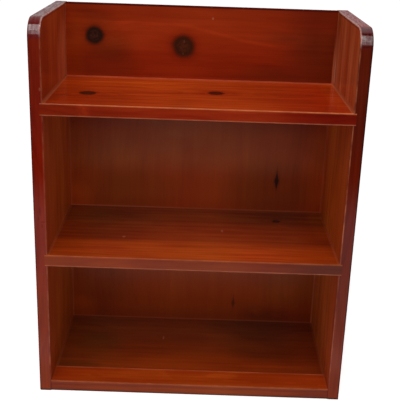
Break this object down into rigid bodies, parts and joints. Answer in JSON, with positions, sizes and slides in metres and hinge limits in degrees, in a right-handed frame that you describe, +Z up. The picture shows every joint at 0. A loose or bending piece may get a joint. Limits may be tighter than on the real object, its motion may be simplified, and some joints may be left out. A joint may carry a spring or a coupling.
{
  "type": "wall shelf",
  "caption": "Open wooden wall shelf with stacked compartments, full-height sides rounded at the top front, a raised back board and a thin back panel; it hangs on keyhole slots or stands.",
  "frame": {"origin": "centre of the footprint, on the base plane that the shelf stands on", "axes": "+X to the shelf's right as seen from the front, +Y from the open front to the wall, +Z up"},
  "size_m": [0.34, 0.165, 0.417],
  "materials": {
    "side_board": "pine, red-brown stain under gloss lacquer, upright grain",
    "shelf_board": "pine, red-brown stain under gloss lacquer, grain along the shelf",
    "back_board": "knotty pine, red-brown stain under gloss lacquer, grain along the board",
    "back_panel": "thin wood panel, red-brown stain under satin lacquer, upright grain",
    "dowel": "bare beech",
    "staple_steel": "galvanised steel wire"
  },
  "bodies": {
    "root": {"left_side": "side_board", "right_side": "side_board", "top_shelf": "shelf_board", "middle_shelf": "shelf_board", "bottom_front_strip": "shelf_board", "bottom_board": "shelf_board", "top_back_board": "back_board", "back_panel": "back_panel", "top_shelf_dowels": "dowel", "middle_shelf_dowels": "dowel", "bottom_board_dowels": "dowel", "back_board_dowels": "dowel", "back_staples": "staple_steel"}
  },
  "joints": []
}
